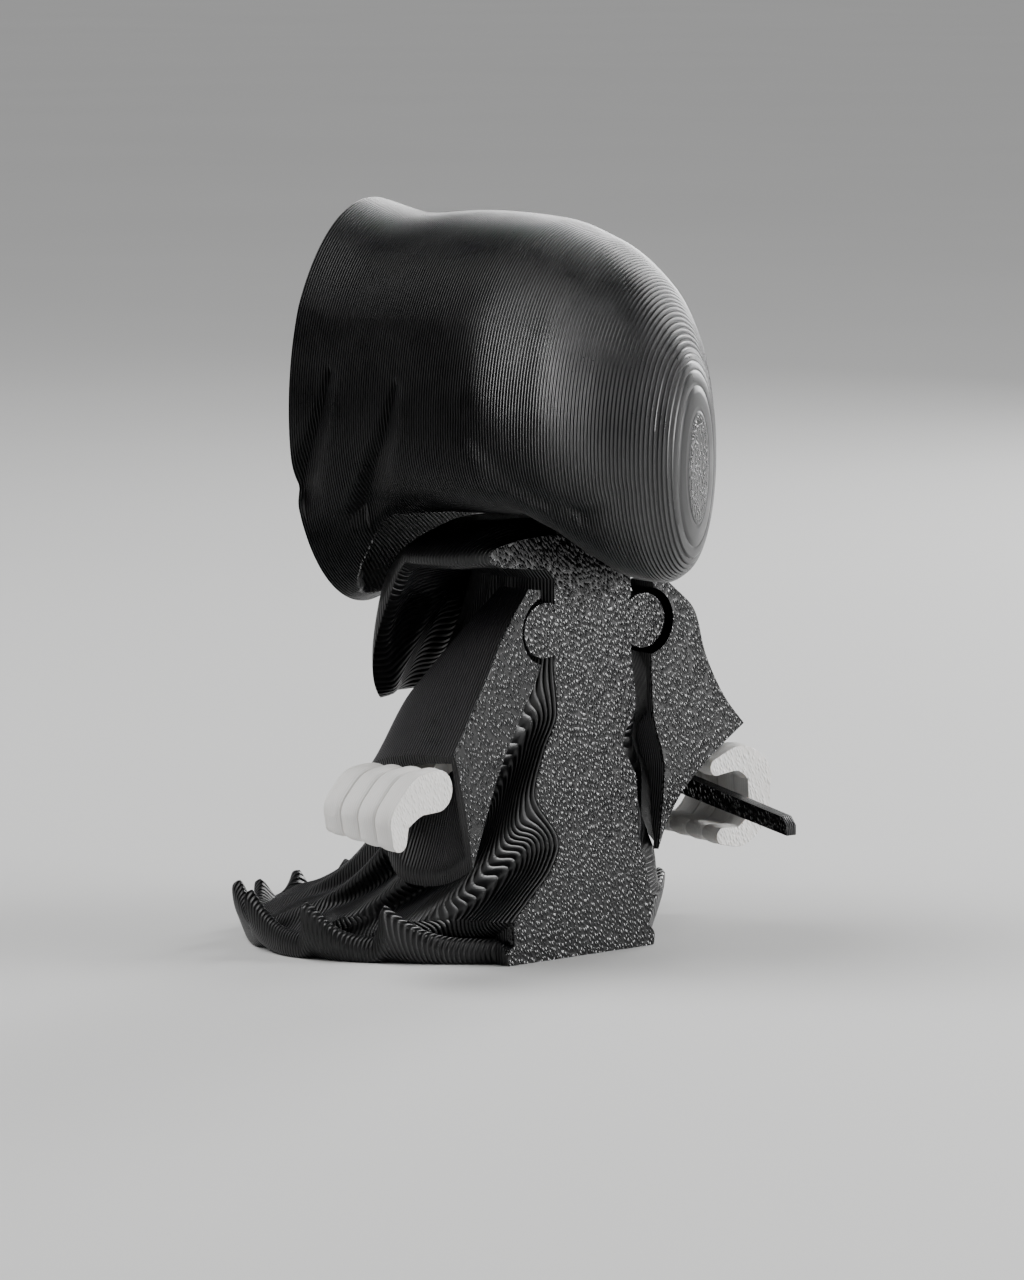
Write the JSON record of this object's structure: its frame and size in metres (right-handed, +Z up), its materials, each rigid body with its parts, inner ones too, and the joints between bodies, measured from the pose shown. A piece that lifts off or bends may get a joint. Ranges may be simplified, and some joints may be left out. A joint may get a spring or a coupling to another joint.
{
  "type": "grim reaper figurine",
  "caption": "Small printed figurine of a hooded reaper in a flared black robe with bell sleeves, white fists and skull, holding a scythe, with a flat back and a flat underside",
  "frame": {"origin": "middle of the footprint box, on the floor", "axes": "+Z up, -Y the way the chest faces, +X the figure's left; the back is flat and faces +Y"},
  "size_m": [0.0408, 0.04, 0.0586],
  "materials": {
    "black_plastic": "printed in fine layers with a soft sheen, the flat backs grainy",
    "white_plastic": "printed in fine layers, dull white"
  },
  "bodies": {
    "root": {"robe": "black_plastic", "hood": "black_plastic", "sleeve_left": "black_plastic", "sleeve_right": "black_plastic", "scythe": "black_plastic", "hand_left": "white_plastic", "hand_right": "white_plastic", "skull": "white_plastic"}
  },
  "joints": []
}
